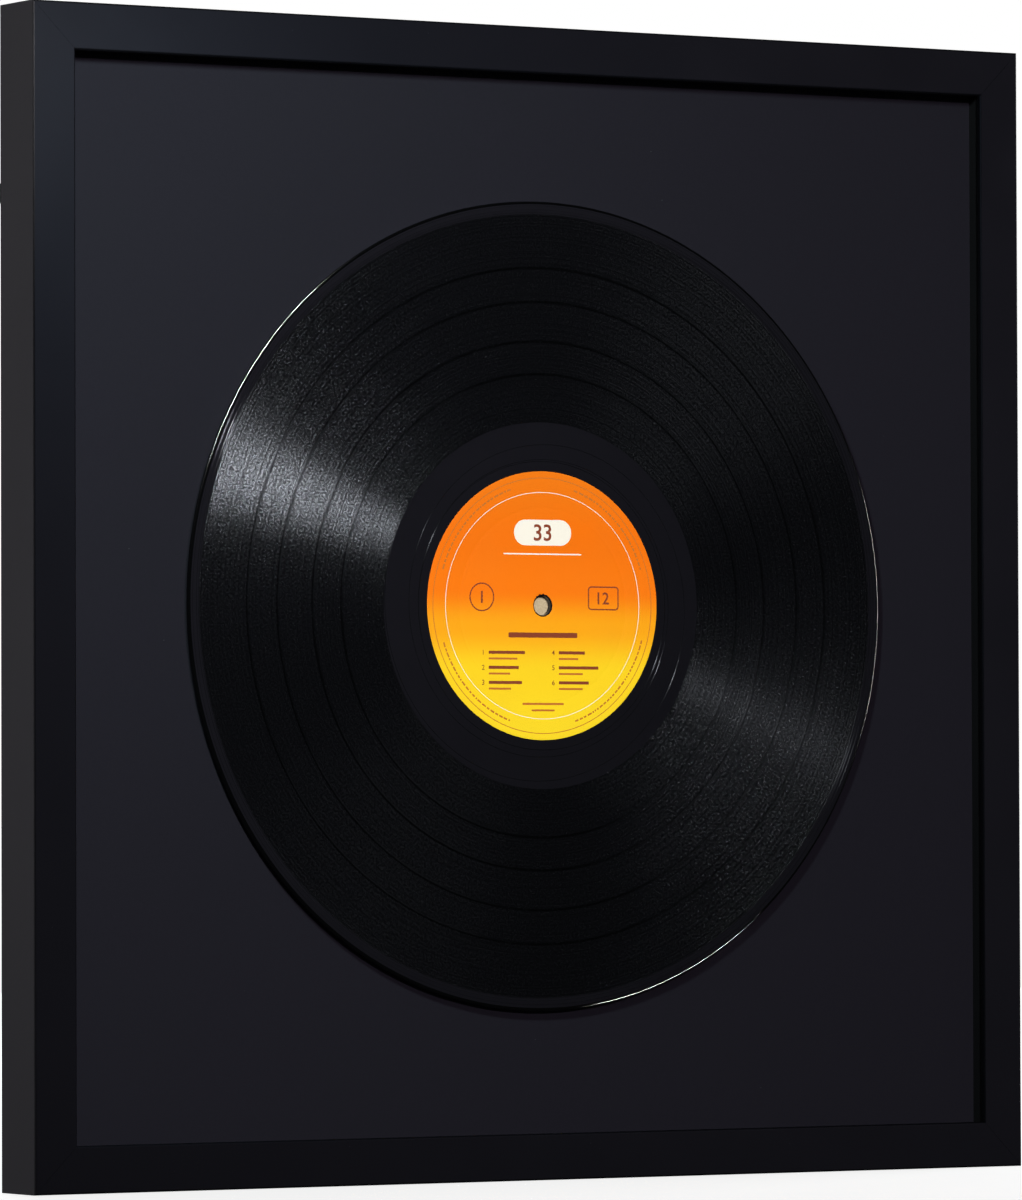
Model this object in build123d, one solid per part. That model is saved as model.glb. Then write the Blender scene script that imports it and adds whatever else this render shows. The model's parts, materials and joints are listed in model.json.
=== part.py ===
from build123d import *
import math
import os

os.makedirs("parts", exist_ok=True)

# ---------------------------------------------------------------------------
# Square wall frame that shows a 12 inch record.
# X runs to the right seen from the front, Y towards the wall, Z up.
# The origin is the middle of the plane in which the four wall pads end, so the
# wall is Y = 0 and the whole frame is in front of it, at negative Y.
# All sizes in millimetres.
# ---------------------------------------------------------------------------

# frame moulding
outer = 429.0            # outside width and height
face_width = 17.3        # visible front face of a rail
depth = 25.8             # front face to rear face of a rail
lip = 2.3                # thickness of the lip in front of the pane
rebate = 3.8             # width of the rebate behind the lip
arris_front = 0.8        # rounding of the long front edges
arris_rear = 0.6         # rounding of the long outer rear edge
arris_lip = 0.35         # rounding of the lip's hidden edge
wall_gap = 4.0           # rear face of the rails to the wall

# stack in the rebate, front to back
pane_size = 401.0
pane_thick = 1.5
spacer_deep = 4.2
spacer_wide = 3.0
board_size = 400.8
mount_thick = 1.6
backing_thick = 13.0
back_thick = 3.0

# record
record_r = 150.8
spindle_r = 3.62
land_r = 52.0            # raised land round the label
land_thick = 2.6
groove_thick = 1.5
rim_thick = 1.9
rim_in_r = 147.6         # inner edge of the raised rim
lead_r = 146.0           # foot of the slope inside the rim
label_r = 50.1
label_thick = 0.12
label_hole_r = 4.15
record_front = 4.4       # label land behind the front face of the frame
record_dx = 1.9          # the disc is stuck down slightly off centre
record_dz = -1.0
pad_r = 32.0

# turn buttons
button_spread = 95.0     # distance of a button from the middle of its rail
button_reach = 20.0
button_half = 4.5
button_thick = 1.2
button_rib = 0.4
pivot_clear = 0.08
play = 0.05

# screws
screw_r = 1.5
screw_len = 11.0
screw_head_r = 3.1
screw_head_h = 1.7

# hangers
hanger_z = 150.0         # height of the ring's pivot above the middle
strap_wide = 8.0
strap_sheet = 0.7
strap_drop = 26.0
wire_r = 0.9
loop_clear = 0.07
ring_half = 5.4          # half width of the ring, on the wire's centre line
ring_high = 9.0          # pivot to the bottom of the bow, on the centre line
ring_lean = 7.0          # degrees that the hanging ring leans on its strap
hanger_screws_at = (13.6, 21.4)

# wall pads
pad_spread = 180.0
bumper_r = 5.0

# corner nails
nail_apexes = (212.0, 206.9)
nail_leg = 4.4
nail_sheet = 0.6
nail_long = 10.0
nail_sunk = 0.3

# derived positions
half = outer / 2
opening = half - face_width
rear_y = -wall_gap
front_y = rear_y - depth
pane_y = front_y + lip
spacer_y = pane_y + pane_thick
mount_y = spacer_y + spacer_deep
backing_y = mount_y + mount_thick
back_y = backing_y + backing_thick
rail_mid = half - (face_width - rebate) / 2
label_y = front_y + record_front
disc_mid_y = label_y + land_thick / 2
disc_back_y = label_y + land_thick


def write(name, thing):
    thing.label = name
    export_step(thing, f"parts/{name}.step")


def group(solids):
    return Compound(children=list(solids))


def turned(shape, quarter):
    """Carries a shape made for the top rail to the rail a number of quarter turns on."""
    return Rot(0, 90 * quarter, 0) * shape


def slab(size, thick, y, corner=0.0):
    """Square board facing the front, from y back by thick."""
    plane = Plane(origin=(0, y, 0), x_dir=(1, 0, 0), z_dir=(0, 1, 0))
    outline = Rectangle(size, size)
    if corner:
        outline = fillet(outline.vertices(), corner)
    return extrude(plane * outline, thick)


def spun(points, x=0.0, z=0.0):
    """Solid of revolution about the line along Y through (x, z); points are (radius, y)."""
    sketch = make_face(Polyline([(r, y, 0) for r, y in points], close=True))
    solid = revolve(sketch, Axis.Y, 360)
    return Pos(x, 0, z) * solid


def wood_screw(x, z, seat_y, to_y):
    """Pan-head screw driven along -Y, head resting on the plane seat_y, tip at to_y."""
    top = seat_y + screw_head_h
    profile = [
        (0, to_y),
        (screw_r, to_y + 2.6),
        (screw_r, seat_y),
        (screw_head_r, seat_y),
        (screw_head_r, seat_y + 0.55),
        (screw_head_r - 0.35, seat_y + 1.15),
        (screw_head_r - 1.1, top - 0.12),
        (screw_head_r - 1.9, top),
        (0, top),
    ]
    body = spun(profile, x, z)
    for w, h in ((0.75, 3.4), (3.4, 0.75)):
        body -= Pos(x, top - 0.45, z) * Box(w, 1.1, h)
    return body


# ------------------------------------------------------------------ fasteners
def corner_nails(flush):
    """The two V nails of the top right corner; flush makes their pocket instead."""
    found = []
    for a in nail_apexes:
        outline = Polyline(
            [
                (a, a),
                (a - nail_leg, a),
                (a - nail_leg, a - nail_sheet),
                (a - nail_sheet, a - nail_sheet),
                (a - nail_sheet, a - nail_leg),
                (a, a - nail_leg),
            ],
            close=True,
        )
        face = make_face(outline)
        start = rear_y if flush else rear_y - nail_sunk
        stop = rear_y - nail_sunk - nail_long
        # the sketch lies in X and Z, and the extrusion runs from the rear face forwards
        plane = Plane(origin=(0, start, 0), x_dir=(1, 0, 0), z_dir=(0, -1, 0))
        found.append(extrude(plane * face, start - stop))
    return found


nails = [turned(n, q) for q in range(4) for n in corner_nails(False)]
nail_pockets = [turned(n, q) for q in range(4) for n in corner_nails(True)]

button_seat = rear_y + play + button_thick + play
button_screw = wood_screw(
    button_spread, rail_mid, button_seat, rear_y - (screw_len - button_thick)
)
button_screw_b = wood_screw(
    -button_spread, rail_mid, button_seat, rear_y - (screw_len - button_thick)
)
button_screws = [turned(s, q) for q in range(4) for s in (button_screw, button_screw_b)]

strap_top = rear_y + 2 * strap_sheet
hanger_screw_list = [
    wood_screw(side * rail_mid, hanger_z - drop, strap_top, rear_y - 8.4)
    for side in (-1, 1)
    for drop in hanger_screws_at
]

# ---------------------------------------------------------------------- rails
# section of the moulding: first number inwards from the outer edge, second Y
section = make_face(
    Polyline(
        [
            (0, front_y),
            (face_width, front_y),
            (face_width, front_y + lip),
            (face_width - rebate, front_y + lip),
            (face_width - rebate, rear_y),
            (0, rear_y),
        ],
        close=True,
    )
)


def corner_at(u, v):
    return [
        p for p in section.vertices() if abs(p.X - u) < 1e-6 and abs(p.Y - v) < 1e-6
    ]


section = fillet(corner_at(0, front_y) + corner_at(face_width, front_y), arris_front)
section = fillet(corner_at(0, rear_y), arris_rear)
section = fillet(corner_at(face_width, front_y + lip), arris_lip)

run = Plane(origin=(0, 0, half), x_dir=(0, 0, -1), z_dir=(1, 0, 0))
bar = extrude(run * section, half, both=True)
# the mitres: what is left lies in the quarter above both diagonals
quarter = extrude(
    Plane(origin=(0, -60, 0), x_dir=(1, 0, 0), z_dir=(0, 1, 0))
    * make_face(Polyline([(0, 0), (-half - 5, -half - 5), (half + 5, -half - 5)], close=True)),
    80,
)
if quarter.bounding_box().max.Z < half:
    quarter = Rot(0, 180, 0) * quarter
top_blank = bar & quarter

rail_names = ["top_rail", "right_rail", "bottom_rail", "left_rail"]
rails = {}
for q, name in enumerate(rail_names):
    rail = turned(top_blank, q)
    for cutter in nail_pockets + button_screws + hanger_screw_list:
        a, b = rail.bounding_box(), cutter.bounding_box()
        if (
            a.min.X < b.max.X
            and b.min.X < a.max.X
            and a.min.Z < b.max.Z
            and b.min.Z < a.max.Z
        ):
            rail = rail - cutter
    rails[name] = rail
    write(name, rail)

write("corner_v_nails", group(nails))
write("turn_button_screws", group(button_screws))
write("hanger_screws", group(hanger_screw_list))

# ------------------------------------------------------------ stack in rebate
write("glazing_pane", slab(pane_size, pane_thick, pane_y))

edge = pane_size / 2
for name, x, z, w, h in (
    ("spacer_top", 0, edge - spacer_wide / 2, pane_size, spacer_wide),
    ("spacer_bottom", 0, -edge + spacer_wide / 2, pane_size, spacer_wide),
    ("spacer_left", -edge + spacer_wide / 2, 0, spacer_wide, pane_size - 2 * spacer_wide),
    ("spacer_right", edge - spacer_wide / 2, 0, spacer_wide, pane_size - 2 * spacer_wide),
):
    write(name, Pos(x, spacer_y + spacer_deep / 2, z) * Box(w, spacer_deep, h))

write("mount_board", slab(board_size, mount_thick, mount_y))
write("backing_board", slab(board_size, backing_thick, backing_y))
write("back_panel", slab(board_size, back_thick, back_y, 1.0))

# --------------------------------------------------------------------- record
half_land = land_thick / 2
half_groove = groove_thick / 2
half_rim = rim_thick / 2
inset = half_land - label_thick


def one_side(s):
    """Half outline of the disc from the spindle hole to the edge, s is -1 at the front."""
    m = disc_mid_y
    return [
        (spindle_r, m + s * inset),
        (label_r, m + s * inset),
        (label_r, m + s * half_land),
        (land_r, m + s * half_land),
        (land_r + 1.6, m + s * half_groove),
        (lead_r, m + s * half_groove),
        (rim_in_r, m + s * half_rim),
        (record_r - 0.75, m + s * half_rim),
        (record_r - 0.22, m + s * (half_rim - 0.22)),
        (record_r, m + s * (half_rim - 0.7)),
    ]


disc_outline = one_side(-1) + list(reversed(one_side(1)))
write("record_disc", spun(disc_outline, record_dx, record_dz))


def label(y):
    return spun(
        [
            (label_hole_r, y),
            (label_r, y),
            (label_r, y + label_thick),
            (label_hole_r, y + label_thick),
        ],
        record_dx,
        record_dz,
    )


write("record_label_front", label(label_y))
write("record_label_back", label(disc_back_y - label_thick))
write(
    "record_spacer_pad",
    spun(
        [(0, disc_back_y), (pad_r, disc_back_y), (pad_r, mount_y), (0, mount_y)],
        record_dx,
        record_dz,
    ),
)

# --------------------------------------------------------------- turn buttons
def button_blank():
    """Turn button on the top rail at the middle, pointing down over the back panel."""
    low = rear_y + play
    flat = Plane(origin=(0, low, rail_mid), x_dir=(1, 0, 0), z_dir=(0, 1, 0))
    # on this plane the second direction points down
    tip = button_reach - button_half
    outline = (
        Circle(button_half)
        + Pos(0, tip) * Circle(button_half)
        + Pos(0, tip / 2) * Rectangle(2 * button_half, tip)
    )
    plate = extrude(flat * outline, button_thick)
    if plate.bounding_box().min.Z > rail_mid - button_reach + 1:
        flat = Plane(origin=(0, low, rail_mid), x_dir=(-1, 0, 0), z_dir=(0, 1, 0))
        plate = extrude(flat * outline, button_thick)
    rear_edges = plate.edges().filter_by(
        lambda e: abs(e.center().Y - (low + button_thick)) < 1e-6
    )
    plate = fillet(rear_edges, 0.35)
    raised = Plane(
        origin=(0, low + button_thick - 0.01, rail_mid), x_dir=flat.x_dir, z_dir=(0, 1, 0)
    )
    ridge = extrude(
        raised * (Pos(0, 11.0) * Rot(0, 0, 90) * SlotOverall(9.0, 3.0)), button_rib + 0.01
    )
    ridge_top = ridge.edges().filter_by(
        lambda e: abs(e.center().Y - (low + button_thick + button_rib)) < 1e-6
    )
    ridge = fillet(ridge_top, 0.25)
    plate = plate + ridge
    hole = Plane(origin=(0, low - 1, rail_mid), x_dir=(1, 0, 0), z_dir=(0, 1, 0))
    return plate - extrude(hole * Circle(screw_r + pivot_clear), button_thick + 2)


button = button_blank()
button_names = [
    ("turn_button_top_right", 0, 1),
    ("turn_button_top_left", 0, -1),
    ("turn_button_right_lower", 1, 1),
    ("turn_button_right_upper", 1, -1),
    ("turn_button_bottom_left", 2, 1),
    ("turn_button_bottom_right", 2, -1),
    ("turn_button_left_upper", 3, 1),
    ("turn_button_left_lower", 3, -1),
]
for name, q, side in button_names:
    piece = turned(Pos(side * button_spread, 0, 0) * button, q)
    write(name, piece)
    c = piece.bounding_box().center()
    print(name, "middle", round(c.X, 2), round(c.Y, 2), round(c.Z, 2))

# -------------------------------------------------------------------- hangers
axis_y = rear_y + strap_sheet + wire_r + loop_clear
loop_r = wire_r + loop_clear + strap_sheet


def strap(x):
    """Folded strap: two layers on the rail and a loop round the ring's straight bar."""
    # section in Y (first) and Z (second), pushed along X
    side_on = Plane(origin=(x, 0, 0), x_dir=(0, 1, 0), z_dir=(1, 0, 0))
    neck = make_hull(
        [
            *(Pos(axis_y, hanger_z) * Circle(loop_r)).edges(),
            *Polyline(
                [
                    (rear_y, hanger_z - 4.2),
                    (strap_top, hanger_z - 4.2),
                    (strap_top, hanger_z - 4.6),
                    (rear_y, hanger_z - 4.6),
                ],
                close=True,
            ).edges(),
        ]
    )
    tail = Pos((rear_y + strap_top) / 2, hanger_z - (strap_drop + 4.4) / 2) * Rectangle(
        strap_top - rear_y, strap_drop - 4.4
    )
    outline = neck + tail
    solid = extrude(side_on * outline, strap_wide / 2, both=True)
    bore = extrude(
        side_on * (Pos(axis_y, hanger_z) * Circle(wire_r + loop_clear)),
        strap_wide,
        both=True,
    )
    solid = solid - bore
    # round the strap's lower end
    end = solid.edges().filter_by(Axis.Y).sort_by(Axis.Z)[:2]
    solid = fillet(end, 3.6)
    for drop in hanger_screws_at:
        hole = Plane(
            origin=(x, rear_y - 1, hanger_z - drop), x_dir=(1, 0, 0), z_dir=(0, 1, 0)
        )
        solid = solid - extrude(hole * Circle(screw_r), 4)
    return solid


def ring(x):
    """D ring hanging from its straight bar, leaning back on the strap."""
    outline = make_face(
        Polyline(
            [
                (-ring_half, 0),
                (ring_half, 0),
                (ring_half, -ring_high),
                (-ring_half, -ring_high),
            ],
            close=True,
        )
    )
    top_corners = [p for p in outline.vertices() if p.Y > -1]
    outline = fillet(top_corners, 1.3)
    low_corners = [p for p in outline.vertices() if p.Y < -ring_high + 1e-6]
    outline = fillet(low_corners, ring_half - 0.1)
    path = outline.face().outer_wire()
    first = path.edges()[0]
    start = Plane(origin=first @ 0, z_dir=first % 0)
    wire = sweep(start * Circle(wire_r), path=path)
    # the sketch's second direction becomes Z, and the ring then swings about the bar
    wire = Plane(origin=(0, 0, 0), x_dir=(1, 0, 0), z_dir=(0, -1, 0)) * wire
    wire = Rot(ring_lean, 0, 0) * wire
    return Pos(x, axis_y, hanger_z) * wire


for name, side in (("left", -1), ("right", 1)):
    s = strap(side * rail_mid)
    r = ring(side * rail_mid)
    write(f"hanger_strap_{name}", s)
    write(f"hanger_ring_{name}", r)
    b = r.bounding_box()
    print(
        "ring",
        name,
        "Y",
        round(b.min.Y, 2),
        round(b.max.Y, 2),
        "Z",
        round(b.min.Z, 2),
        round(b.max.Z, 2),
    )

# ------------------------------------------------------------------ wall pads
def bumper(x, z):
    return spun(
        [
            (0, rear_y),
            (bumper_r, rear_y),
            (bumper_r, rear_y + 1.2),
            (bumper_r - 0.35, rear_y + 2.9),
            (bumper_r - 0.9, rear_y + 3.7),
            (bumper_r - 1.6, 0),
            (0, 0),
        ],
        x,
        z,
    )


write(
    "wall_pads",
    group(
        bumper(sx * pad_spread, sz * rail_mid) for sx in (-1, 1) for sz in (-1, 1)
    ),
)

print("front", front_y, "rail rear", rear_y, "mount front", mount_y, "back", back_y + back_thick)
print("pivot line", rail_mid, "ring pivot y", round(axis_y, 3))
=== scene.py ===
import json
import math
import random

import bmesh
import bpy
import numpy as np
from mathutils import Matrix, Vector

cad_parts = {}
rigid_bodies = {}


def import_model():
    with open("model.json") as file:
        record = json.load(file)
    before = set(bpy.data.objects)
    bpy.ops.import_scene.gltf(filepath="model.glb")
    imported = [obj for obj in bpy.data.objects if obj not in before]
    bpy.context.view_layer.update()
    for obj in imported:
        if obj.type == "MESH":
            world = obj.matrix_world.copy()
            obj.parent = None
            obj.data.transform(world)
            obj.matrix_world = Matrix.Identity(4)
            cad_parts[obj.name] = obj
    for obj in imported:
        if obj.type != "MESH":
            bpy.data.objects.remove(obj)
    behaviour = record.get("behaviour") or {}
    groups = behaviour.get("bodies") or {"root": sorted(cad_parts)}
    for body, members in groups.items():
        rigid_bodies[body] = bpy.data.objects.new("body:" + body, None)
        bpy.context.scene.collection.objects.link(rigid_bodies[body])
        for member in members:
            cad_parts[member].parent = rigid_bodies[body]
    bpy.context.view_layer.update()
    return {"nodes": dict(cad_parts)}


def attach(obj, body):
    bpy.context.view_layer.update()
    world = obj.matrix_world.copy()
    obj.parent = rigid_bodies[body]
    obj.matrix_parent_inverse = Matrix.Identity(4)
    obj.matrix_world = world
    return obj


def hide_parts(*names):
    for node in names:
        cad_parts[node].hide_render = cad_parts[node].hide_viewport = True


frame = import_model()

NODES = frame["nodes"]
MM = 0.001
scene = bpy.context.scene

# ---------------------------------------------------------------------------
# Places shared with the CAD, in millimetres
# ---------------------------------------------------------------------------
DISC_X, DISC_Z = 1.9, -1.0          # middle of the record
LAND_Y = -25.4                      # front of the label and of the land round it
MID_Y = -24.1                       # middle of the record's thickness
RECORD_R = 150.8
SPINDLE_R = 3.62
LABEL_R = 50.1
LABEL_THICK = 0.12
LABEL_HOLE_R = 4.15
GROOVE_HALF = 0.75                  # half thickness in the groove band
RIM_HALF = 0.95
LAND_HALF = 1.3
TRACK_GAPS = (126.0, 113.3, 98.5, 86.3)
MUSIC_IN, MUSIC_OUT = 68.4, 146.0


# ---------------------------------------------------------------------------
# Small tools
# ---------------------------------------------------------------------------
def new_object(name, mesh, body="frame"):
    o = bpy.data.objects.new(name, mesh)
    scene.collection.objects.link(o)
    if body:
        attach(o, body)
    return o


def mesh_from(name, verts, faces, smooth=True):
    """verts in millimetres."""
    me = bpy.data.meshes.new(name)
    me.from_pydata([(x * MM, y * MM, z * MM) for x, y, z in verts], [], faces)
    me.validate()
    me.update()
    if smooth:
        me.polygons.foreach_set("use_smooth", [True] * len(me.polygons))
    return me


class Net:
    """A material's node tree, with short ways to add and join nodes."""

    def __init__(self, name):
        self.material = bpy.data.materials.new(name)
        self.material.use_nodes = True
        self.tree = self.material.node_tree
        self.tree.nodes.clear()
        self.out = self.tree.nodes.new("ShaderNodeOutputMaterial")
        self.coords = self.tree.nodes.new("ShaderNodeTexCoord")
        self.place = self.coords.outputs["Object"]

    def put(self, socket, value):
        if isinstance(value, bpy.types.NodeSocket):
            self.tree.links.new(value, socket)
        elif isinstance(value, bpy.types.Node):
            self.tree.links.new(value.outputs[0], socket)
        elif value is not None:
            if hasattr(socket.default_value, "__len__") and not hasattr(value, "__len__"):
                value = [value] * len(socket.default_value)
            if hasattr(value, "__len__") and len(socket.default_value) == 4 and len(value) == 3:
                value = (*value, 1.0)
            socket.default_value = value

    def node(self, kind, inputs=None, **settings):
        n = self.tree.nodes.new("ShaderNode" + kind)
        for k, v in settings.items():
            setattr(n, k, v)
        for k, v in (inputs or {}).items():
            self.put(n.inputs[k], v)
        return n

    def math(self, op, a, b=None, c=None, clamp=False):
        n = self.node("Math", operation=op, use_clamp=clamp)
        for i, v in enumerate((a, b, c)):
            if v is not None:
                self.put(n.inputs[i], v)
        return n.outputs[0]

    def vec(self, op, a, b=None, scale=None):
        n = self.node("VectorMath", operation=op)
        self.put(n.inputs[0], a)
        if b is not None:
            self.put(n.inputs[1], b)
        if scale is not None:
            self.put(n.inputs["Scale"], scale)
        return n.outputs["Value"] if op in ("LENGTH", "DOT_PRODUCT", "DISTANCE") else n.outputs["Vector"]

    def noise(self, scale, detail=3.0, rough=0.55, at=None, stretch=None, dims="3D", distort=0.0):
        """scale is features per metre."""
        at = at or self.place
        if stretch is not None:
            at = self.vec("MULTIPLY", at, stretch)
        n = self.node("TexNoise", {"Vector": at, "Scale": scale, "Detail": detail, "Roughness": rough, "Distortion": distort},
                      noise_dimensions=dims)
        return n.outputs[0]

    def voronoi(self, scale, at=None, feature="F1", out="Distance", randomness=1.0, dims="3D"):
        n = self.node("TexVoronoi", {"Vector": at or self.place, "Scale": scale, "Randomness": randomness},
                      feature=feature, voronoi_dimensions=dims)
        return n.outputs[out]

    def ramp(self, value, stops, mode="LINEAR"):
        n = self.node("ValToRGB", {"Fac": value})
        n.color_ramp.interpolation = mode
        els = n.color_ramp.elements
        while len(els) < len(stops):
            els.new(0.5)
        for e, (p, c) in zip(els, stops):
            e.position = p
            e.color = (c, c, c, 1) if not hasattr(c, "__len__") else (*c, 1)
        return n.outputs[0]

    def remap(self, value, a, b, c, d, kind="LINEAR"):
        n = self.node("MapRange", {"Value": value, "From Min": a, "From Max": b, "To Min": c, "To Max": d},
                      interpolation_type=kind)
        return n.outputs[0]

    def mix(self, fac, a, b, blend="MIX"):
        n = self.node("Mix", data_type="RGBA", blend_type=blend)
        self.put(n.inputs[0], fac)
        self.put(n.inputs[6], a)
        self.put(n.inputs[7], b)
        return n.outputs[2]

    def bump(self, height, strength=1.0, distance=0.001, normal=None):
        n = self.node("Bump", {"Height": height, "Strength": strength, "Distance": distance})
        if normal is not None:
            self.put(n.inputs["Normal"], normal)
        return n.outputs[0]

    def separate(self, v):
        n = self.node("SeparateXYZ", {"Vector": v})
        return n.outputs

    def principled(self, **inputs):
        n = self.tree.nodes.new("ShaderNodeBsdfPrincipled")
        for k, v in inputs.items():
            self.put(n.inputs[k.replace("_", " ")], v)
        self.tree.links.new(n.outputs[0], self.out.inputs["Surface"])
        return n


def dress(obj, *materials):
    obj.data.materials.clear()
    for m in materials:
        obj.data.materials.append(m)


def dress_node(name, material):
    """Gives a CAD node's own slots the material."""
    o = NODES[name]
    for s in o.material_slots:
        s.link = "OBJECT"
        s.material = material


# ---------------------------------------------------------------------------
# Materials
# ---------------------------------------------------------------------------
def specks(n, per_metre, size, keep, at=None):
    """Sparse round dust: 1 on a speck, 0 elsewhere. keep is the share of cells that hold one."""
    vor = n.node("TexVoronoi", {"Vector": at or n.place, "Scale": per_metre, "Randomness": 1.0}, feature="F1")
    near = n.remap(vor.outputs["Distance"], size * 0.55, size, 1.0, 0.0)
    pick = n.math("LESS_THAN", n.separate(vor.outputs["Color"])[0], keep)
    return n.math("MULTIPLY", near, pick)


def make_lacquer():
    """Black satin lacquer on the moulding."""
    n = Net("black_satin_lacquer")
    peel = n.noise(900, 2.0, 0.5)
    broad = n.noise(28, 3.0, 0.5)
    fine = n.noise(4200, 2.0, 0.6)
    dust = specks(n, 260, 0.045, 0.10)
    base = n.mix(broad, (0.0112, 0.0108, 0.0118), (0.0136, 0.0132, 0.0143))
    base = n.mix(n.math("MULTIPLY", dust, 0.5), base, (0.30, 0.30, 0.31))
    rough = n.remap(n.math("ADD", n.math("MULTIPLY", broad, 0.6), n.math("MULTIPLY", fine, 0.4)), 0.3, 0.7, 0.50, 0.555)
    b1 = n.bump(peel, 0.22, 0.00008)
    b2 = n.bump(fine, 0.10, 0.00002, b1)
    n.principled(Base_Color=base, Roughness=rough, IOR=1.5, Normal=b2)
    return n.material


def make_charcoal():
    """Charcoal board: fibrous paper, dyed through."""
    n = Net("charcoal_board")
    fibre_a = n.noise(1500, 3.0, 0.6, stretch=(0.35, 1.0, 1.0), distort=0.6)
    fibre_b = n.noise(1500, 3.0, 0.6, stretch=(1.0, 1.0, 0.3), distort=0.6)
    fibre = n.math("MAXIMUM", fibre_a, fibre_b)
    grain = n.noise(3800, 2.0, 0.6)
    mottle = n.noise(18, 3.0, 0.5)
    dust = specks(n, 210, 0.04, 0.045)
    tone = n.math("ADD", n.math("MULTIPLY", fibre, 0.5), n.math("MULTIPLY", grain, 0.5))
    base = n.mix(n.remap(tone, 0.35, 0.65, 0.0, 1.0), (0.0258, 0.0225, 0.0318), (0.0345, 0.0306, 0.0423))
    base = n.mix(n.remap(mottle, 0.3, 0.7, 0.0, 0.35), base, (0.0294, 0.0276, 0.0354))
    base = n.mix(n.math("MULTIPLY", dust, 0.7), base, (0.25, 0.25, 0.25))
    b = n.bump(tone, 0.35, 0.00006)
    rough = n.remap(tone, 0.3, 0.7, 0.82, 0.92)
    n.principled(Base_Color=base, Roughness=rough, IOR=1.5, Specular_IOR_Level=0.29, Normal=b)
    return n.material


def disc_radius(n):
    """Distance from the record's axis, in millimetres, and the offset itself."""
    off = n.vec("SUBTRACT", n.place, (DISC_X * MM, 0.0, DISC_Z * MM))
    flat = n.vec("MULTIPLY", off, (1000.0, 0.0, 1000.0))
    return n.vec("LENGTH", flat), flat


def ring_mask(n, r, centre, half, soft=0.15):
    d = n.math("ABSOLUTE", n.math("SUBTRACT", r, centre))
    return n.remap(d, half - soft, half + soft, 1.0, 0.0)


def make_groove_vinyl():
    """Pressed grooves: rough across the groove, smooth along it, with single bare turns between the tracks. Its base
    carries painted shade: darker than the smooth vinyl, darkest on the bare turns.
    """
    n = Net("vinyl_grooves")
    r, flat = disc_radius(n)
    gaps, lean = None, None
    for g in TRACK_GAPS:
        m = ring_mask(n, r, g, 0.50, 0.16)
        side = n.math("MULTIPLY", n.math("MULTIPLY", n.math("SUBTRACT", r, g), 0.55), m)
        gaps = m if gaps is None else n.math("MAXIMUM", gaps, m)
        lean = side if lean is None else n.math("ADD", lean, side)
    # music: every few turns differs from the next
    turns = n.node("TexNoise", {"W": r, "Scale": 1.8, "Detail": 4.0, "Roughness": 0.75}, noise_dimensions="1D").outputs[0]
    slow = n.node("TexNoise", {"W": r, "Scale": 0.16, "Detail": 2.0, "Roughness": 0.5}, noise_dimensions="1D").outputs[0]
    grain = n.node("TexNoise", {"Vector": flat, "Scale": GRAIN_SCALE, "Detail": 1.5, "Roughness": 0.6}, noise_dimensions="3D")
    rgb = n.separate(grain.outputs["Color"])
    # unit vectors along the radius and along the groove
    out_dir = n.vec("NORMALIZE", flat)
    geo = n.node("NewGeometry")
    along = n.vec("CROSS_PRODUCT", geo.outputs["Normal"], out_dir)
    k = n.math("SUBTRACT", 1.0, gaps)
    tilt_t = n.math("MULTIPLY", n.math("SUBTRACT", rgb[0], 0.5), n.math("MULTIPLY", k, GRAIN_T))
    tilt_r = n.math("ADD",
                    n.math("MULTIPLY", n.math("SUBTRACT", rgb[1], 0.5), n.math("MULTIPLY", k, GRAIN_R)),
                    n.math("MULTIPLY", n.math("SUBTRACT", turns, 0.5), n.math("MULTIPLY", k, TURNS_R)))
    tilt_r = n.math("ADD", tilt_r, lean)
    normal = n.vec("NORMALIZE", n.vec("ADD", geo.outputs["Normal"],
                                      n.vec("ADD", n.vec("SCALE", along, scale=tilt_t), n.vec("SCALE", out_dir, scale=tilt_r))))
    rough = n.math("ADD", GROOVE_ROUGH, n.math("MULTIPLY", n.math("SUBTRACT", slow, 0.5), 0.05))
    rough = n.math("ADD", rough, n.math("MULTIPLY", n.math("SUBTRACT", turns, 0.5), n.math("MULTIPLY", k, 0.09)))
    rough = n.math("ADD", rough, n.math("MULTIPLY", n.math("SUBTRACT", rgb[2], 0.5), n.math("MULTIPLY", k, 0.16)))
    rough = n.math("ADD", rough, n.math("MULTIPLY", gaps, 0.035))
    # painted shade: the grooved band's base is kept well below the smooth vinyl's, standing for the shade inside the
    # grooves, and the bare turns between the tracks are painted darker still
    base = n.mix(turns, (0.0090, 0.0084, 0.0098), (0.0134, 0.0126, 0.0146))
    base = n.mix(gaps, base, (0.0040, 0.0040, 0.0044))
    # dust and scuffs in the grooves: the gloss varies from spot to spot
    spots = n.node("TexNoise", {"Vector": flat, "Scale": 1.5, "Detail": 0.5, "Roughness": 0.5}).outputs[0]
    gloss = n.remap(n.math("ADD", n.math("MULTIPLY", spots, 0.5), n.math("MULTIPLY", turns, 0.5)), 0.37, 0.63, 0.01, 0.69)
    gloss = n.mix(gaps, gloss, (0.14, 0.14, 0.14))
    base = n.mix(n.remap(spots, 0.62, 0.74, 0.0, 0.6), base, (0.026, 0.025, 0.028))
    tangent = n.node("Tangent", direction_type="RADIAL", axis="Y")
    n.principled(Base_Color=base, Roughness=rough, IOR=1.5, Specular_IOR_Level=gloss, Anisotropic=1.0,
                 Anisotropic_Rotation=GROOVE_TURN, Tangent=tangent.outputs[0], Normal=normal)
    return n.material


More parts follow.
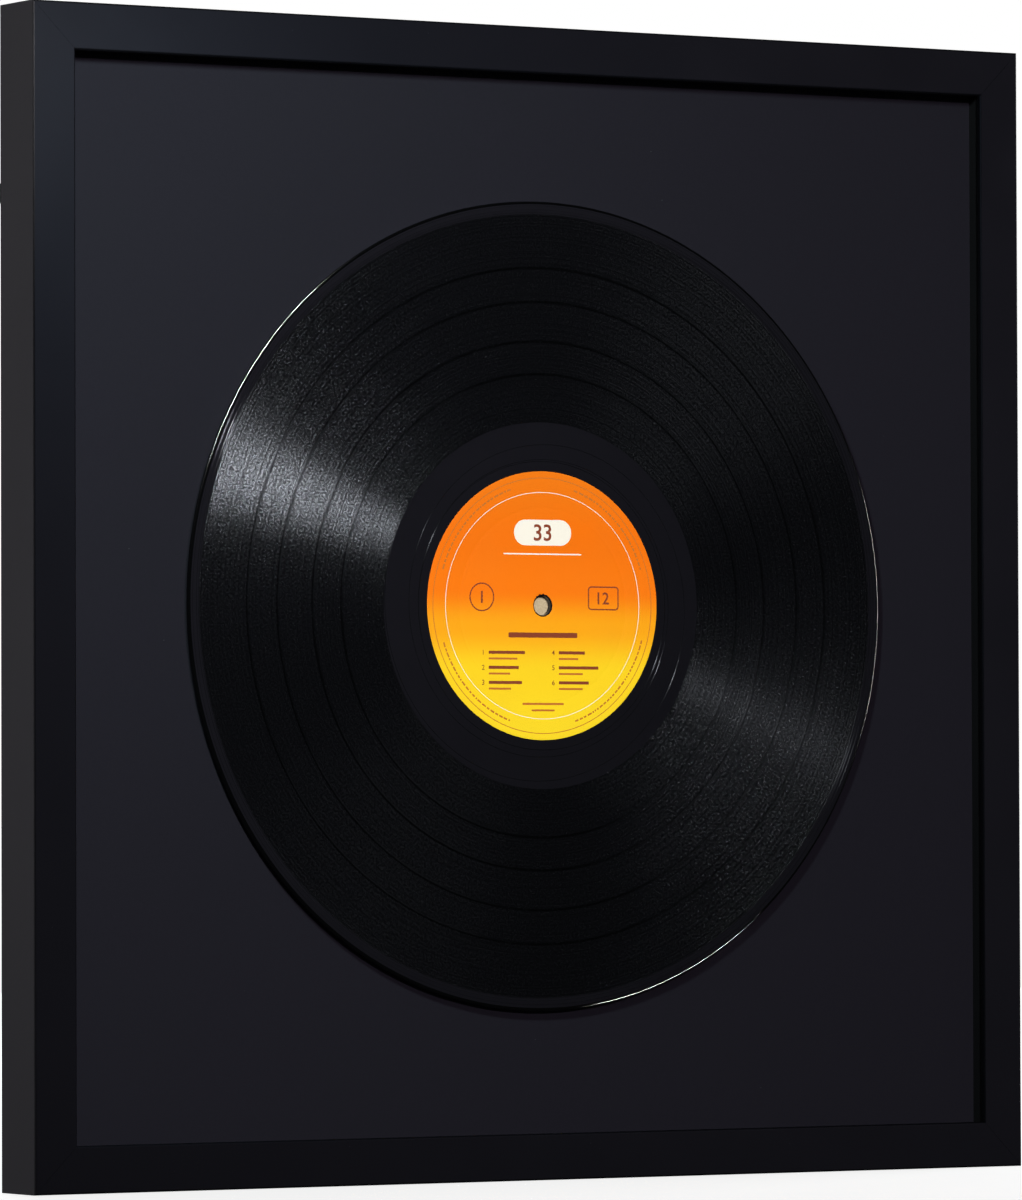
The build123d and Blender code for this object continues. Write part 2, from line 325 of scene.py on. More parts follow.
def make_turn_vinyl():
    """The bare turns that run in from the rim and out to the label: bright only where the light lies across them."""
    n = Net("vinyl_turns")
    haze = n.noise(60, 2.0, 0.5)
    base = n.mix(haze, (0.012, 0.012, 0.013), (0.016, 0.016, 0.017))
    tangent = n.node("Tangent", direction_type="RADIAL", axis="Y")
    n.principled(Base_Color=base, Roughness=n.remap(haze, 0.3, 0.7, 0.17, 0.21), IOR=1.5, Specular_IOR_Level=0.4, Anisotropic=1.0,
                 Anisotropic_Rotation=GROOVE_TURN, Tangent=tangent.outputs[0])
    return n.material


def make_edge_vinyl():
    """The turned edge of the disc, more polished than the faces; its base is painted far darker than theirs, as painted
    shade.
    """
    n = Net("vinyl_edge_painted_shade")
    r, flat = disc_radius(n)
    nicks = n.node("TexNoise", {"Vector": flat, "Scale": 2.2, "Detail": 3.0, "Roughness": 0.6}).outputs[0]
    # painted shade: the edge's base is several times darker than the smooth vinyl of the faces, standing for the dark
    # band round the disc
    base = n.mix(nicks, (0.0035, 0.0034, 0.0038), (0.0055, 0.0054, 0.0060))
    b = n.bump(nicks, 0.02, 0.00003)
    n.principled(Base_Color=base, Roughness=n.remap(nicks, 0.3, 0.7, 0.09, 0.13), IOR=1.5, Specular_IOR_Level=0.5, Normal=b)
    return n.material


def make_plain_vinyl():
    """Ungrooved vinyl: rim, run-out land and edge."""
    n = Net("vinyl_smooth")
    r, flat = disc_radius(n)
    haze = n.noise(70, 3.0, 0.55)
    scuff = n.node("TexNoise", {"Vector": flat, "Scale": 0.9, "Detail": 4.0, "Roughness": 0.7}).outputs[0]
    base = n.mix(haze, (0.0315, 0.0272, 0.0345), (0.0375, 0.0325, 0.0405))
    rough = n.remap(n.math("ADD", n.math("MULTIPLY", haze, 0.5), n.math("MULTIPLY", scuff, 0.5)), 0.3, 0.7, 0.18, 0.23)
    b = n.bump(scuff, 0.05, 0.00003)
    n.principled(Base_Color=base, Roughness=rough, IOR=1.5, Specular_IOR_Level=0.30, Normal=b)
    return n.material


def make_label_paper():
    """Printed paper, its ground running from orange at the top to yellow at the foot."""
    n = Net("label_paper")
    z = n.separate(n.place)[2]
    t = n.remap(z, (DISC_Z - 50.0) * MM, (DISC_Z + 50.0) * MM, 0.0, 1.0)
    ground = n.ramp(t, [
        (0.00, (0.85, 0.630, 0.018)),
        (0.25, (0.86, 0.595, 0.013)),
        (0.42, (0.85, 0.340, 0.006)),
        (0.56, (0.83, 0.160, 0.002)),
        (0.75, (0.79, 0.140, 0.001)),
        (1.00, (0.75, 0.155, 0.003)),
    ], "EASE")
    fibre = n.noise(2600, 3.0, 0.6)
    cloud = n.noise(60, 2.0, 0.5)
    ground = n.mix(n.remap(fibre, 0.3, 0.7, 0.0, 0.08), ground, (0.9, 0.42, 0.004))
    ground = n.mix(n.remap(cloud, 0.3, 0.7, 0.0, 0.05), ground, (0.5, 0.2, 0.03))
    b = n.bump(fibre, 0.15, 0.00003)
    n.principled(Base_Color=ground, Roughness=0.6, IOR=1.45, Specular_IOR_Level=0.1, Normal=b)
    return n.material


def make_ink(name, colour, other, rough):
    n = Net(name)
    fibre = n.noise(2600, 3.0, 0.6)
    base = n.mix(n.remap(fibre, 0.3, 0.75, 0.0, 1.0), colour, other)
    n.principled(Base_Color=base, Roughness=rough, IOR=1.45, Specular_IOR_Level=0.25)
    return n.material


def make_foam():
    n = Net("foam_pad")
    cells = n.voronoi(1900)
    big = n.noise(300, 2.0, 0.5)
    base = n.mix(n.remap(cells, 0.1, 0.6, 0.0, 1.0), (0.62, 0.50, 0.33), (0.44, 0.34, 0.21))
    base = n.mix(n.math("MULTIPLY", big, 0.2), base, (0.35, 0.27, 0.17))
    b = n.bump(cells, 0.6, 0.0002)
    n.principled(Base_Color=base, Roughness=0.85, Normal=b)
    return n.material


def make_white_board():
    n = Net("white_board")
    fibre = n.noise(1800, 3.0, 0.6)
    base = n.mix(fibre, (0.66, 0.65, 0.62), (0.78, 0.77, 0.74))
    b = n.bump(fibre, 0.2, 0.00005)
    n.principled(Base_Color=base, Roughness=0.7, Normal=b)
    return n.material


def make_fibreboard():
    """Thin fibreboard: pressed wood fibres, brown, with darker strands."""
    n = Net("fibreboard")
    strands = n.noise(520, 4.0, 0.65, stretch=(1.0, 1.0, 0.28), distort=1.2)
    strands_b = n.noise(520, 4.0, 0.65, stretch=(0.28, 1.0, 1.0), distort=1.2)
    flakes = n.voronoi(900, out="Distance")
    cloud = n.noise(22, 4.0, 0.55)
    both = n.math("MAXIMUM", strands, strands_b)
    base = n.mix(n.remap(both, 0.42, 0.72, 0.0, 1.0), (0.115, 0.068, 0.036), (0.245, 0.155, 0.087))
    base = n.mix(n.remap(flakes, 0.0, 0.22, 0.45, 0.0), base, (0.052, 0.030, 0.017))
    base = n.mix(n.remap(cloud, 0.3, 0.7, 0.0, 0.35), base, (0.150, 0.094, 0.054))
    rough = n.remap(both, 0.4, 0.7, 0.55, 0.72)
    b = n.bump(both, 0.4, 0.0001)
    n.principled(Base_Color=base, Roughness=rough, Normal=b)
    return n.material


def make_zinc():
    """Bright zinc plate on pressed steel."""
    n = Net("zinc_plated_steel")
    scratch = n.noise(900, 3.0, 0.6, stretch=(1.0, 1.0, 0.12))
    spangle = n.voronoi(700, out="Color")
    haze = n.noise(160, 3.0, 0.55)
    tone = n.separate(spangle)[0]
    base = n.mix(n.math("MULTIPLY", tone, 0.35), (0.60, 0.61, 0.62), (0.46, 0.47, 0.49))
    base = n.mix(n.remap(haze, 0.45, 0.75, 0.0, 0.35), base, (0.50, 0.46, 0.38))
    rough = n.remap(n.math("ADD", n.math("MULTIPLY", scratch, 0.6), n.math("MULTIPLY", tone, 0.4)), 0.2, 0.8, 0.26, 0.42)
    b = n.bump(scratch, 0.18, 0.00004)
    n.principled(Base_Color=base, Metallic=1.0, Roughness=rough, Normal=b)
    return n.material


def make_rubber():
    n = Net("rubber_pad")
    fine = n.noise(2500, 3.0, 0.6)
    base = n.mix(fine, (0.017, 0.016, 0.015), (0.030, 0.029, 0.028))
    b = n.bump(fine, 0.3, 0.00006)
    n.principled(Base_Color=base, Roughness=n.remap(fine, 0.3, 0.7, 0.6, 0.75), Normal=b)
    return n.material


def make_spacer():
    n = Net("black_spacer")
    fine = n.noise(1600, 3.0, 0.6)
    base = n.mix(fine, (0.0075, 0.0073, 0.0078), (0.0110, 0.0107, 0.0113))
    b = n.bump(fine, 0.25, 0.00006)
    n.principled(Base_Color=base, Roughness=n.remap(fine, 0.3, 0.7, 0.55, 0.7), Specular_IOR_Level=0.3, Normal=b)
    return n.material


def make_clear():
    """Low-reflection clear sheet: almost all light passes, with a weak gloss."""
    n = Net("clear_sheet")
    fres = n.node("Fresnel", {"IOR": 1.3})
    wipe = n.noise(9, 3.0, 0.5)
    fac = n.math("MULTIPLY", fres.outputs[0], 0.015)
    clear = n.node("BsdfTransparent", {"Color": (0.992, 0.995, 0.993)})
    gloss = n.node("BsdfGlossy", {"Color": (1.0, 1.0, 1.0), "Roughness": n.remap(wipe, 0.3, 0.7, 0.05, 0.09)})
    m = n.node("MixShader")
    n.put(m.inputs[0], fac)
    n.put(m.inputs[1], clear.outputs[0])
    n.put(m.inputs[2], gloss.outputs[0])
    n.put(n.out.inputs["Surface"], m.outputs[0])
    return n.material


GROOVE_ROUGH = 0.205
GROOVE_TURN = 0.25
GRAIN_SCALE = 1.6
GRAIN_T = 0.13
GRAIN_R = 0.12
TURNS_R = 0.22

lacquer = make_lacquer()
charcoal = make_charcoal()
groove_vinyl = make_groove_vinyl()
plain_vinyl = make_plain_vinyl()
turn_vinyl = make_turn_vinyl()
painted_dark_edge = make_edge_vinyl()
label_paper = make_label_paper()
ink_dark = make_ink("label_ink_dark", (0.17, 0.030, 0.012), (0.26, 0.055, 0.018), 0.5)
ink_brown = make_ink("label_ink_brown", (0.42, 0.125, 0.018), (0.52, 0.17, 0.02), 0.5)
ink_cream = make_ink("label_ink_cream", (0.78, 0.75, 0.66), (0.86, 0.82, 0.72), 0.5)
foam = make_foam()
white_board = make_white_board()
fibreboard = make_fibreboard()
zinc = make_zinc()
rubber = make_rubber()
spacer_black = make_spacer()
clear_sheet = make_clear()

for name in NODES:
    if name.startswith(("turn_button", "hanger_", "corner_v")):
        dress_node(name, zinc)
dress_node("wall_pads", rubber)
dress_node("back_panel", fibreboard)
dress_node("backing_board", white_board)
dress_node("mount_board", charcoal)
dress_node("record_spacer_pad", foam)
dress_node("glazing_pane", clear_sheet)
for name in ("spacer_top", "spacer_bottom", "spacer_left", "spacer_right"):
    dress_node(name, spacer_black)


# ---------------------------------------------------------------------------
# Rails: the CAD moulding with the sharp mitre edges eased
# ---------------------------------------------------------------------------
def eased_rail(name):
    bm = bmesh.new()
    bm.from_mesh(NODES[name].data)
    bmesh.ops.remove_doubles(bm, verts=bm.verts, dist=2e-6)
    bmesh.ops.dissolve_limit(bm, angle_limit=math.radians(0.2), verts=bm.verts, edges=bm.edges)
    bm.normal_update()

    def on_mitre(v):
        return abs(abs(v.co.x) - abs(v.co.z)) < 4e-6

    def is_mitre_face(f):
        return all(on_mitre(v) for v in f.verts) and abs(abs(f.normal.x) - abs(f.normal.z)) < 1e-3 and abs(f.normal.y) < 1e-3

    edges = []
    for e in bm.edges:
        if len(e.link_faces) == 2 and all(on_mitre(v) for v in e.verts):
            kinds = [is_mitre_face(f) for f in e.link_faces]
            if kinds[0] != kinds[1]:
                edges.append(e)
    bmesh.ops.bevel(bm, geom=edges, offset=MITRE_EASE * MM, offset_type="OFFSET", segments=2, profile=0.5, affect="EDGES",
                    clamp_overlap=True)
    me = bpy.data.meshes.new(name + "_lacquered")
    bm.to_mesh(me)
    bm.free()
    if "custom_normal" in me.attributes:
        me.attributes.remove(me.attributes["custom_normal"])
    me.polygons.foreach_set("use_smooth", [True] * len(me.polygons))
    me.set_sharp_from_angle(angle=math.radians(32))
    me.update()
    o = new_object(name + "_lacquered", me, "frame")
    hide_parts(name)
    wn = o.modifiers.new("face_weighted", "WEIGHTED_NORMAL")
    wn.keep_sharp = True
    wn.weight = 100
    dress(o, lacquer)
    return o


MITRE_EASE = 0.07
for name in ("top_rail", "right_rail", "bottom_rail", "left_rail"):
    eased_rail(name)


# ---------------------------------------------------------------------------
# Record
# ---------------------------------------------------------------------------
def lathe(name, profile, segments, centre=(DISC_X, DISC_Z), closed=True, wobble=None):
    """Turns a list of (radius, y) round the line along Y through centre. Returns verts and faces."""
    verts, faces = [], []
    count = len(profile)
    for i in range(segments):
        a = 2 * math.pi * i / segments
        c, s = math.cos(a), math.sin(a)
        for k, (r, y) in enumerate(profile):
            rr = r + (wobble(k, a) if wobble else 0.0)
            verts.append((centre[0] + rr * c, y, centre[1] + rr * s))
    for i in range(segments):
        j = (i + 1) % segments
        for k in range(count if closed else count - 1):
            m = (k + 1) % count
            faces.append((i * count + k, i * count + m, j * count + m, j * count + k))
    return verts, faces


BEAD_IN = 149.7                    # the rounded edge starts here


def disc_height(r):
    """Height of the pressing's face above the disc's middle."""
    def ease(t):
        t = min(1.0, max(0.0, t))
        return t * t * (3 - 2 * t)
    if r < 75.0:
        t = min(1.0, max(0.0, (r - 50.4) / 16.4))
        soft = 0.5 * (t + ease(t))
        return LAND_HALF + (GROOVE_HALF - LAND_HALF) * (0.75 * t + 0.25 * soft)
    return GROOVE_HALF + (RIM_HALF - GROOVE_HALF) * ease((r - 145.9) / 1.6)


def record_front():
    """(radius, height above the disc's middle) from the hole to the edge, with the zone that starts at each point."""
    p = []

    def add(r, h, zone):
        p.append((r, h, zone))

    add(SPINDLE_R, LAND_HALF - 0.34, "plain")
    add(SPINDLE_R + 0.22, LAND_HALF - LABEL_THICK, "plain")
    add(LABEL_R - 0.02, LAND_HALF - LABEL_THICK, "plain")
    add(LABEL_R + 0.05, LAND_HALF - 0.03, "plain")
    add(LABEL_R + 0.18, LAND_HALF, "plain")
    # the land runs down to the level of the grooves in one long soft slope
    for i in range(22):
        r = 50.45 + 0.8 * i
        add(r, disc_height(r), "plain")
    add(MUSIC_IN - 0.1, GROOVE_HALF, "groove")
    r = MUSIC_IN + 0.3
    rng = random.Random(11)
    while r < MUSIC_OUT - 0.8:
        near_gap = any(abs(r - g) < 1.0 for g in TRACK_GAPS)
        dip = 0.0
        for g in TRACK_GAPS:
            if abs(r - g) < 0.5:
                dip = 0.012
        add(r, GROOVE_HALF + dip + (0 if near_gap else rng.uniform(-0.004, 0.004)), "groove")
        if near_gap:
            r += 0.3
        else:
            ahead = [g - 1.0 - r for g in TRACK_GAPS if g - 1.0 > r]
            r += min([1.7] + [q + 0.01 for q in ahead])
    add(MUSIC_OUT - 0.4, GROOVE_HALF, "groove")
    add(MUSIC_OUT, disc_height(MUSIC_OUT), "plain")
    for r in (146.3, 146.6, 146.9, 147.2, 147.5):
        add(r, disc_height(r), "plain")
    for r in (148.6, BEAD_IN - 0.3, BEAD_IN - 0.06):
        add(r, RIM_HALF, "plain")
    add(BEAD_IN, RIM_HALF, "plain")
    add(BEAD_IN + 0.12, RIM_HALF - 0.06, "plain")
    add(BEAD_IN + 0.12, 0.0, "plain")
    return p


def build_record():
    """Land, grooves and rim, each a closed ring of the full thickness, so that each takes its own light."""
    front = record_front()
    first = next(i for i, q in enumerate(front) if q[2] == "groove")
    last = next(i for i in range(first, len(front)) if front[i][2] != "groove")
    for name, part, material in (("record_land", front[:first + 1], plain_vinyl),
                                 ("record_grooves", front[first:last + 1], groove_vinyl),
                                 ("record_rim", front[last:], plain_vinyl)):
        profile = [(r, MID_Y - h) for r, h, _ in part] + [(r, MID_Y + h) for r, h, _ in reversed(part) if h > 0]
        verts, faces = lathe(name, profile, 420)
        me = mesh_from(name, verts, faces)
        bm = bmesh.new()
        bm.from_mesh(me)
        bmesh.ops.recalc_face_normals(bm, faces=bm.faces)
        bm.to_mesh(me)
        bm.free()
        me.set_sharp_from_angle(angle=math.radians(40))
        o = new_object(name, me, "frame")
        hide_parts("record_disc")
        dress(o, material)


build_record()


def build_bead():
    """The rounded outer edge of the disc."""
    outline = []
    steps = 22
    depth = RECORD_R - BEAD_IN
    for i in range(steps + 1):
        a = math.pi * (0.5 - i / steps)
        # a little fuller than an ellipse, as a trimmed edge is
        c, q = math.cos(a), math.sin(a)
        m = (abs(c) ** 2.2 + abs(q) ** 2.2) ** (-1 / 2.2)
        outline.append((BEAD_IN + depth * c * m, MID_Y - RIM_HALF * q * m))
    outline += [(BEAD_IN - 0.05, MID_Y + RIM_HALF - 0.05), (BEAD_IN - 0.05, MID_Y - RIM_HALF + 0.05)]
    verts, faces = lathe("bead", outline, 480)
    me = mesh_from("record_edge", verts, faces)
    bm = bmesh.new()
    bm.from_mesh(me)
    bmesh.ops.recalc_face_normals(bm, faces=bm.faces)
    bm.to_mesh(me)
    bm.free()
    me.set_sharp_from_angle(angle=math.radians(40))
    o = new_object("record_edge", me, "frame")
    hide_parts("record_disc")
    dress(o, painted_dark_edge)
    return o


build_bead()


def ridge_strip(points, half, high, y0, side):
    """Thin ridge of triangular section along a run of (radius, angle), closed at its ends. side is -1 in front."""
    verts, faces = [], []
    n = len(points)
    for r, a in points:
        c, s = math.cos(a), math.sin(a)
        for dr, dy in ((-half, -side * 0.01), (0.0, side * high), (half, -side * 0.01)):
            verts.append((DISC_X + (r + dr) * c, y0(r) + dy, DISC_Z + (r + dr) * s))
    for i in range(n - 1):
        a, b = 3 * i, 3 * (i + 1)
        for k in range(3):
            m = (k + 1) % 3
            faces.append((a + k, a + m, b + m, b + k))
    faces.append((0, 1, 2))
    faces.append((3 * n - 1, 3 * n - 2, 3 * n - 3))
    return verts, faces


def spiral(stops, step=1.5):
    """Points of a spiral through (angle in degrees, radius) stops, radius shrinking as the angle grows."""
    pts = []
    for (a0, r0), (a1, r1) in zip(stops, stops[1:]):
        steps = max(2, int((a1 - a0) / step))
        for i in range(steps):
            t = i / steps
            pts.append((r0 + (r1 - r0) * t, math.radians(a0 + (a1 - a0) * t)))
    pts.append((stops[-1][1], math.radians(stops[-1][0])))
    return pts


def build_spirals():
    """The wide-pitched turns: the lead-in, and the run-out to the locked groove."""
    for name, half, high, stops in (
            ("record_lead_in", 0.10, 0.0245, [(0, 149.3), (158, 149.0), (518, 147.35), (878, 146.45), (1060, 146.15)]),
            ("record_run_out", 0.11, 0.066, [(-200, 68.4), (-110, 65.9), (-23, 63.3), (157, 58.1), (337, 55.4), (517, 53.9),
                                             (560, 53.75), (919.9, 53.75)])):
        verts, faces = [], []
        for side in (-1, 1):
            def y0(r, side=side):
                return MID_Y + side * disc_height(r)
            v, f = ridge_strip(spiral(stops), half, high, y0, side)
            base = len(verts)
            verts += v
            faces += [tuple(base + i for i in q) for q in f]
        me = mesh_from(name, verts, faces, smooth=False)
        bm = bmesh.new()
        bm.from_mesh(me)
        bmesh.ops.recalc_face_normals(bm, faces=bm.faces)
        bm.to_mesh(me)
        bm.free()
        o = new_object(name, me, "frame")
        dress(o, turn_vinyl)


build_spirals()


# ---------------------------------------------------------------------------
# Labels
# ---------------------------------------------------------------------------
def build_label(name, node, y_front, side, seed):
    """Paper disc with the press ring and a slightly torn hole. side is -1 at the front."""
    rng = random.Random(seed)
    phases = [(rng.uniform(0, 6.283), k, rng.uniform(0.3, 1.0)) for k in (3, 5, 8, 13, 21)]

    def wobble(k, a):
        if 2 <= k < count - 3:
            return 0.0
        w = sum(amp * math.sin(f * a + p) for p, f, amp in phases) / 3.0
        torn = max(0.0, math.cos(a - math.radians(100))) ** 3
        fade = 1.0 if k in (0, 1, count - 1, count - 2) else 0.4
        return fade * (0.07 * w + 0.32 * torn * (0.6 + 0.5 * math.sin(17 * a + 1.0)))

    t = LABEL_THICK
    top = [
        (LABEL_HOLE_R, 0.02), (LABEL_HOLE_R + 0.05, 0.0), (LABEL_HOLE_R + 1.2, 0.0), (14.0, 0.0),
        (35.2, 0.0), (35.7, 0.018), (36.1, 0.05), (36.5, 0.05), (36.9, 0.018), (37.4, 0.0),
        (44.0, 0.0), (49.3, 0.0), (49.85, 0.012), (50.06, 0.05),
    ]
    profile = [(r, y_front - side * d) for r, d in top]
    profile += [(50.06, y_front - side * t), (36.0, y_front - side * t), (14.0, y_front - side * t),
                (LABEL_HOLE_R + 0.05, y_front - side * t), (LABEL_HOLE_R, y_front - side * (t - 0.02))]
    count = len(profile)
    verts, faces = lathe(name, profile, 360, wobble=wobble)
    me = mesh_from(name, verts, faces)
    bm = bmesh.new()
    bm.from_mesh(me)
    bmesh.ops.recalc_face_normals(bm, faces=bm.faces)
    bm.to_mesh(me)
    bm.free()
    me.set_sharp_from_angle(angle=math.radians(35))
    o = new_object(name, me, "frame")
    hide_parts(node)
    dress(o, label_paper)
    return o


BACK_Y = MID_Y + LAND_HALF
build_label("label_front_paper", "record_label_front", LAND_Y, -1, 3)
build_label("label_back_paper", "record_label_back", BACK_Y, 1, 4)


class Print:
    """Flat ink shapes on a label: u to the right and v up on the label, in millimetres."""

    def __init__(self, y, side):
        self.y, self.side = y, side
        self.verts, self.faces = [], []

    def plate(self, outline):
        """Thin closed plate from an outline of (u, v)."""
        base = len(self.verts)
        n = len(outline)
        for d in (0.0, 0.014):
            for u, v in outline:
                x = DISC_X + (u if self.side < 0 else -u)
                self.verts.append((x, self.y + self.side * d, DISC_Z + v))
        self.faces.append(tuple(base + i for i in range(n)))
        self.faces.append(tuple(base + n + i for i in reversed(range(n))))
        for i in range(n):
            j = (i + 1) % n
            self.faces.append((base + i, base + n + i, base + n + j, base + j))

    def bar(self, u, v, w, h, r=None):
        """Bar with rounded ends, (u, v) its left middle."""
        r = min(h / 2, w / 2) if r is None else r
        pts = []
        for cu, cv, a0 in ((u + w - r, v - h / 2 + r, -90), (u + w - r, v + h / 2 - r, 0),
                           (u + r, v + h / 2 - r, 90), (u + r, v - h / 2 + r, 180)):
            for i in range(7):
                a = math.radians(a0 + 15 * i)
                pts.append((cu + r * math.cos(a), cv + r * math.sin(a)))
        self.plate(pts)

    def arc(self, r, width, a0, a1, step=2.0):
        """Part of a ring, from angle a0 to a1 in degrees."""
        n = max(2, int(abs(a1 - a0) / step) + 1)
        angles = [math.radians(a0 + (a1 - a0) * i / (n - 1)) for i in range(n)]
        for b, c in zip(angles, angles[1:]):
            ri, ro = r - width / 2, r + width / 2
            self.plate([(ri * math.cos(b), ri * math.sin(b)), (ro * math.cos(b), ro * math.sin(b)),
                        (ro * math.cos(c), ro * math.sin(c)), (ri * math.cos(c), ri * math.sin(c))])

    def loop(self, outer, inner):
        """Closed band between two outlines with as many points."""
        n = len(outer)
        base = len(self.verts)
        for d in (0.0, 0.014):
            for u, v in list(outer) + list(inner):
                x = DISC_X + (u if self.side < 0 else -u)
                self.verts.append((x, self.y + self.side * d, DISC_Z + v))
        for i in range(n):
            j = (i + 1) % n
            a, b, c, d = base + i, base + j, base + n + j, base + n + i
            self.faces.append((a, b, c, d))
            self.faces.append((d + 2 * n, c + 2 * n, b + 2 * n, a + 2 * n))
            self.faces.append((a, a + 2 * n, b + 2 * n, b))
            self.faces.append((d, c, c + 2 * n, d + 2 * n))

    def ring(self, cu, cv, r, width, n=72):
        def at(q):
            return [(cu + q * math.cos(2 * math.pi * i / n), cv + q * math.sin(2 * math.pi * i / n)) for i in range(n)]
        self.loop(at(r + width / 2), at(r - width / 2))

    def frame(self, cu, cv, w, h, r, width):
        def at(g):
            pts = []
            rr = max(0.05, r + g)
            for su, sv, a0 in ((1, -1, -90), (1, 1, 0), (-1, 1, 90), (-1, -1, 180)):
                for i in range(7):
                    a = math.radians(a0 + 15 * i)
                    pts.append((cu + su * (w / 2 - r) + rr * math.cos(a), cv + sv * (h / 2 - r) + rr * math.sin(a)))
            return pts
        self.loop(at(width / 2), at(-width / 2))

    def figures(self, text, u, v, size, bold=0.0):
        """Plain figures, their middle at (u, v)."""
        cu = bpy.data.curves.new("figures", "FONT")
        cu.body = text
        cu.size = size
        cu.align_x = "CENTER"
        cu.align_y = "CENTER"
        cu.offset = bold
        cu.resolution_u = 4
        cu.extrude = 0.007
        ob = bpy.data.objects.new("figures", cu)
        scene.collection.objects.link(ob)
        bpy.context.view_layer.update()
        me = bpy.data.meshes.new_from_object(ob.evaluated_get(bpy.context.evaluated_depsgraph_get()))
        xs = [p.co.x for p in me.vertices]
        ys = [p.co.y for p in me.vertices]
        mu, mv = (min(xs) + max(xs)) / 2, (min(ys) + max(ys)) / 2
        base = len(self.verts)
        for p in me.vertices:
            pu, pv = p.co.x - mu + u, p.co.y - mv + v
            x = DISC_X + (pu if self.side < 0 else -pu)
            d = 0.007 + p.co.z
            self.verts.append((x, self.y + self.side * d, DISC_Z + pv))
        for f in me.polygons:
            self.faces.append(tuple(base + i for i in f.vertices))
        bpy.data.objects.remove(ob)
        bpy.data.curves.remove(cu)
        bpy.data.meshes.remove(me)

    def make(self, name, material):
        me = mesh_from(name, self.verts, self.faces, smooth=False)
        bm = bmesh.new()
        bm.from_mesh(me)
        bmesh.ops.remove_doubles(bm, verts=bm.verts, dist=1e-8)
        bmesh.ops.recalc_face_normals(bm, faces=bm.faces)
        bm.to_mesh(me)
        bm.free()
        o = new_object(name, me, "frame")
        dress(o, material)
        return o


def print_label(prefix, y, side, number):
    dark, brown, cream = Print(y, side), Print(y, side), Print(y, side)
    rng = random.Random(20 + number)
    # rings near the edge
    brown.ring(0, 0, 47.6, 0.28, 180)
    cream.ring(0, 0, 42.2, 0.22, 180)
    # short marks in four arcs, where a pressing carries its small print
    for start in (18, 108, 198, 288):
        a = float(start)
        while a < start + 54:
            w = rng.uniform(0.7, 2.6)
            brown.arc(45.2, 0.62, a, a + w, 1.3)
            a += w + rng.uniform(0.55, 0.9)
    # plate with the speed
    cream.bar(-12.5, 27.2, 25.0, 9.6, 4.8)
    dark.figures("33", 0, 27.2, 8.6, 0.12)
    cream.bar(-17.0, 19.2, 34.0, 0.5)
    # side number and diameter, left and right of the hole
    dark.ring(-26.5, 3.0, 5.1, 0.5)
    dark.figures(str(number), -26.5, 3.0, 6.4, 0.06)
    dark.frame(26.5, 3.0, 13.0, 8.4, 1.2, 0.5)
    dark.figures("12", 26.5, 3.0, 6.4, 0.06)
    # heading and two columns of tracks
    dark.bar(-15.0, -11.0, 30.0, 1.9, 0.3)
    for i in range(6):
        col, row = divmod(i, 3)
        u = -26.0 if col == 0 else 4.5
        v = -17.5 - 5.6 * row
        w = rng.uniform(11.0, 17.5)
        dark.figures(str(i + 1), u, v, 2.6, 0.02)
        dark.bar(u + 2.4, v, w, 1.15, 0.2)
        brown.bar(u + 2.4, v - 2.3, w * rng.uniform(0.5, 0.8), 0.75, 0.2)
    brown.bar(-9.0, -36.6, 18.0, 0.8, 0.2)
    brown.bar(-5.0, -39.0, 10.0, 0.7, 0.2)
    dark.make(prefix + "_print_dark", ink_dark)
    brown.make(prefix + "_print_brown", ink_brown)
    cream_obj = cream.make(prefix + "_print_cream", ink_cream)
    return cream_obj


print_label("label_front", LAND_Y, -1, 1)
print_label("label_back", BACK_Y, 1, 2)
# figures over the cream plate stand a hair in front of it
for prefix, side in (("label_front", -1), ("label_back", 1)):
    for v in bpy.data.objects[prefix + "_print_dark"].data.vertices:
        v.co.y += side * 0.012 * MM


# ---------------------------------------------------------------------------
# Stage, light and camera
# ---------------------------------------------------------------------------
def make_floor():
    n = Net("pale_floor")
    cloud = n.noise(1.2, 4.0, 0.5)
    base = n.mix(cloud, (0.50, 0.50, 0.50), (0.54, 0.54, 0.54))
    # brighter with distance, so that it runs into the background without an edge
    far = n.remap(n.vec("LENGTH", n.place), 0.9, 7.0, 0.86, 1.02, "SMOOTHSTEP")
    n.principled(Base_Color=base, Roughness=0.9, Specular_IOR_Level=0.05, Emission_Color=(1.0, 1.0, 1.0), Emission_Strength=far)
    me = bpy.data.meshes.new("floor")
    s = 60.0
    me.from_pydata([(-s, -s, -0.2145), (s, -s, -0.2145), (s, s, -0.2145), (-s, s, -0.2145)], [], [(0, 1, 2, 3)])
    o = bpy.data.objects.new("floor", me)
    scene.collection.objects.link(o)
    me.materials.append(n.material)
    o.visible_glossy = False
    o.visible_diffuse = False
    return o


floor = make_floor()


def area_light(name, where, look_at, size, watts, colour=(1, 1, 1), size_y=None, spread=180.0):
    data = bpy.data.lights.new(name, "AREA")
    data.energy = watts
    data.color = colour
    data.size = size
    if size_y:
        data.shape = "RECTANGLE"
        data.size_y = size_y
    data.spread = math.radians(spread)
    o = bpy.data.objects.new(name, data)
    scene.collection.objects.link(o)
    o.location = where
    d = Vector(look_at) - Vector(where)
    o.rotation_mode = "QUATERNION"
    o.rotation_quaternion = d.to_track_quat("-Z", "Y")
    o.visible_camera = False
    return o


def only_on(light, *objects):
    """The light falls on these pieces alone."""
    c = bpy.data.collections.new(light.name + "_receivers")
    for o in objects:
        c.objects.link(o)
    light.light_linking.receiver_collection = c


